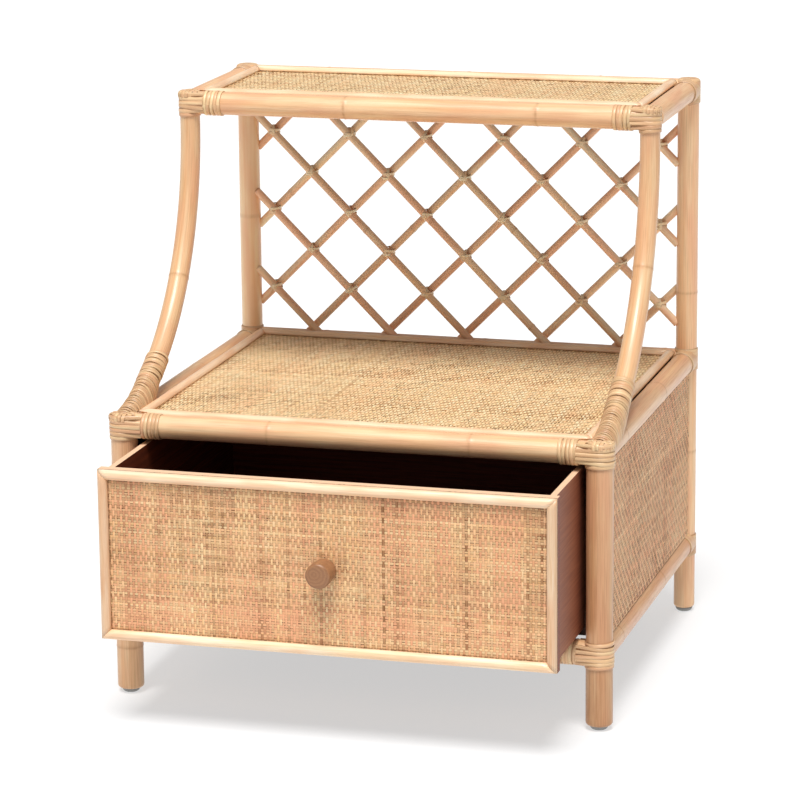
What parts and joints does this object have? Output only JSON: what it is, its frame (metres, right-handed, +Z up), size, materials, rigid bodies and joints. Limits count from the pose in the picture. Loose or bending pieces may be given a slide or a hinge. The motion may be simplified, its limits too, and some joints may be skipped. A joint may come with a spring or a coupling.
{
  "type": "side table with drawer",
  "caption": "Rattan bedside table: a woven drawer cabinet on pole legs, with a raised shelf carried by rear posts, bent arms and a crossed-stick back.",
  "frame": {"origin": "on the floor, at the middle of the four leg axes", "axes": "+X to the right as seen from the front, +Y to the back, +Z up; the drawer opens along -Y"},
  "size_m": [0.5024, 0.5513, 0.5672],
  "materials": {
    "rattan": "satin",
    "peel": "satin",
    "cane_weave": "matte",
    "panel_wood": "matte",
    "drawer_wood": "satin",
    "knob_wood": "satin",
    "steel": "satin",
    "glide_plastic": "matte"
  },
  "bodies": {
    "cabinet": {"front_leg_left": "rattan", "front_leg_right": "rattan", "rear_post_left": "rattan", "rear_post_right": "rattan", "arm_left": "rattan", "arm_right": "rattan", "top_rail_front": "rattan", "top_rail_rear": "rattan", "top_rail_left": "rattan", "top_rail_right": "rattan", "deck_rail_front": "rattan", "deck_rail_rear": "rattan", "deck_rail_left": "rattan", "deck_rail_right": "rattan", "base_rail_front": "rattan", "base_rail_rear": "rattan", "base_rail_left": "rattan", "base_rail_right": "rattan", "shelf_board": "panel_wood", "shelf_weave": "cane_weave", "shelf_bead": "rattan", "deck_board": "panel_wood", "deck_weave": "cane_weave", "deck_bead": "rattan", "side_board_left": "panel_wood", "side_board_right": "panel_wood", "side_weave_left": "cane_weave", "side_weave_right": "cane_weave", "side_slips": "rattan", "back_board": "panel_wood", "back_weave": "cane_weave", "lattice_rising": "rattan", "lattice_falling": "rattan", "lattice_knots": "peel", "binding_top_left": "peel", "binding_top_right": "peel", "binding_deck_left": "peel", "binding_deck_right": "peel", "binding_base_left": "peel", "binding_base_right": "peel", "arm_lashing_left": "peel", "arm_lashing_right": "peel", "rear_sleeves_left": "peel", "rear_sleeves_right": "peel", "glides": "glide_plastic", "runner_left": "panel_wood", "runner_right": "panel_wood", "kickers": "panel_wood", "drawer_stops": "panel_wood", "frame_screws": "steel", "runner_screws": "steel"},
    "drawer": {"drawer_front": "drawer_wood", "drawer_weave": "cane_weave", "drawer_bead": "rattan", "drawer_side_left": "drawer_wood", "drawer_side_right": "drawer_wood", "drawer_back": "drawer_wood", "drawer_bottom": "drawer_wood", "knob": "knob_wood", "knob_screw": "steel"}
  },
  "joints": [
    {"name": "drawer_slide", "type": "slide", "parent": "cabinet", "child": "drawer", "axis": [0, -1, 0], "range_m": [-0.118, 0.16]}
  ]
}
